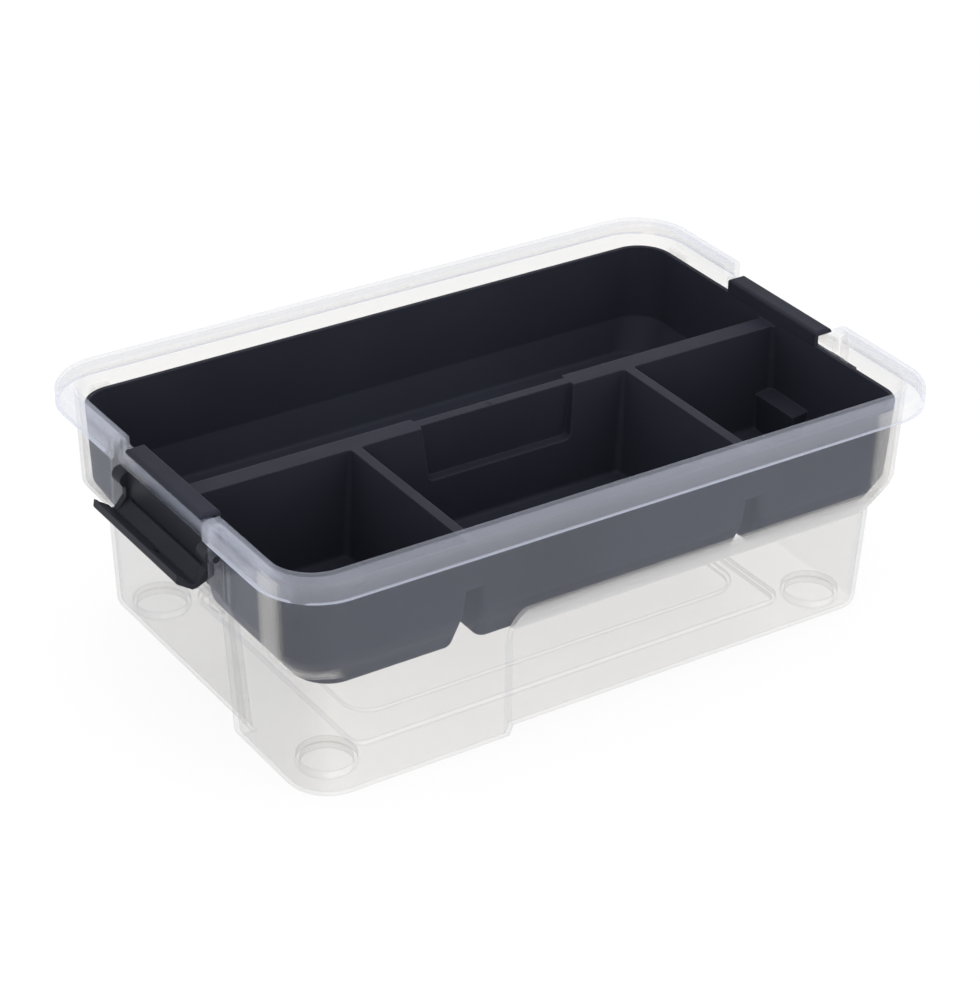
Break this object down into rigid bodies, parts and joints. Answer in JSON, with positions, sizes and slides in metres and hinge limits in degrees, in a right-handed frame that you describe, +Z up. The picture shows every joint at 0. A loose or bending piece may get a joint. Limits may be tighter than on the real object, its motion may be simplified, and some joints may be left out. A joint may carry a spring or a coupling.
{
  "type": "storage case with lift-out tray",
  "caption": "Open see-through storage case with a rolled rim, a dark lift-out divided tray hanging in its mouth, and a hinged latch on each short end.",
  "frame": {"origin": "centre of the box around the case, on the surface it stands on", "axes": "+X along the long side, +Y towards the long compartment of the tray, +Z up"},
  "size_m": [0.418, 0.263, 0.134],
  "materials": {
    "clear_plastic": "natural see-through polypropylene, satin",
    "tray_plastic": "dark blue-grey, fine matt",
    "latch_plastic": "dark blue-grey, fine matt"
  },
  "bodies": {
    "case": {"tub": "clear_plastic"},
    "tray": {"organiser_tray": "tray_plastic"},
    "left_latch": {"latch_left": "latch_plastic"},
    "right_latch": {"latch_right": "latch_plastic"}
  },
  "joints": [
    {"name": "tray_lift", "type": "slide", "parent": "case", "child": "tray", "axis": [0, 0, 1], "range_m": [0, 0.085]},
    {"name": "left_latch_hinge", "type": "hinge", "parent": "case", "child": "left_latch", "pos_m": [-0.1914, 0, 0.1123], "axis": [0, 1, 0], "range_deg": [0, 108]},
    {"name": "right_latch_hinge", "type": "hinge", "parent": "case", "child": "right_latch", "pos_m": [0.1914, 0, 0.1123], "axis": [0, -1, 0], "range_deg": [0, 108]}
  ]
}
